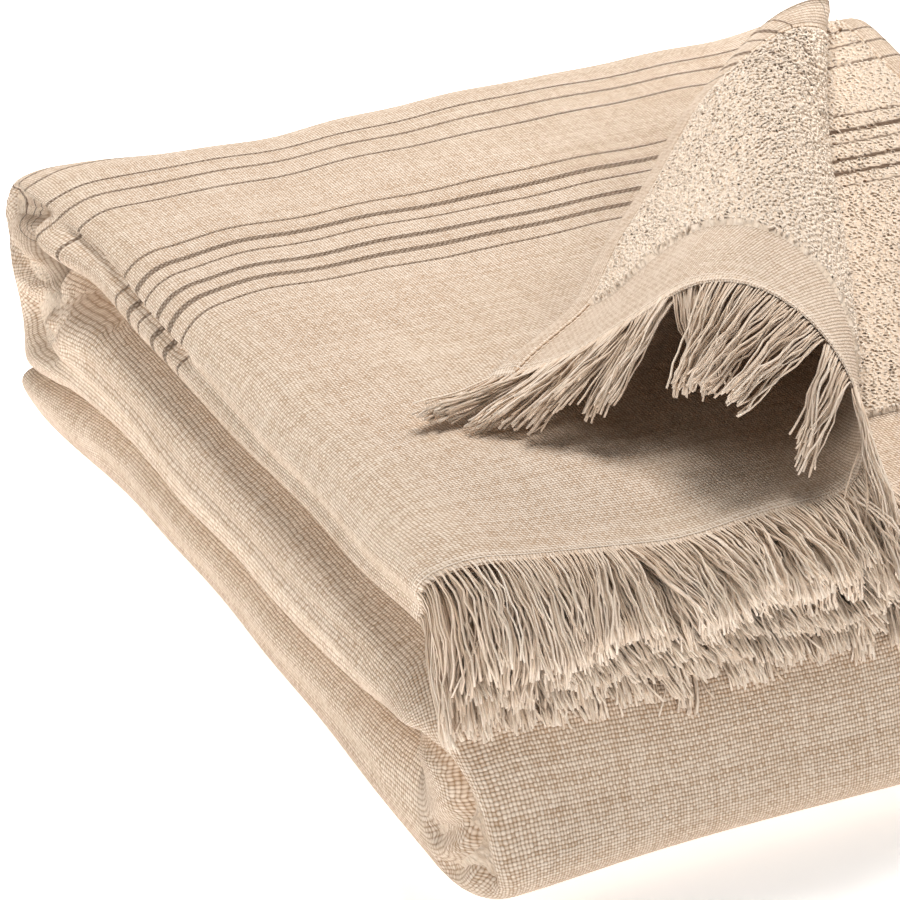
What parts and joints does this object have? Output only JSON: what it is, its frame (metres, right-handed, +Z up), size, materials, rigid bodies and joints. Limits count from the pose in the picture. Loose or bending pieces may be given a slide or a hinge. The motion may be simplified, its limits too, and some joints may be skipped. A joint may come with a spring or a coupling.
{
  "type": "folded bath sheet",
  "caption": "Large flat-woven cotton bath sheet with a looped back and fringed ends, folded in a neat stack with a front corner turned back.",
  "frame": {"origin": "on the resting surface, under the middle of the stack's box", "axes": "+X along the stripes and to the right seen from the fringe, +Y away from the fringe, +Z up"},
  "size_m": [0.2568, 0.3058, 0.1189],
  "materials": {
    "cloth": "matt cotton, flat-woven face and looped back, with thin brown weft stripes",
    "fringe": "matt loose cotton yarns"
  },
  "bodies": {
    "root": {"cloth": "cloth", "fringe_outer_end": "fringe", "fringe_inner_end": "fringe"}
  },
  "joints": []
}
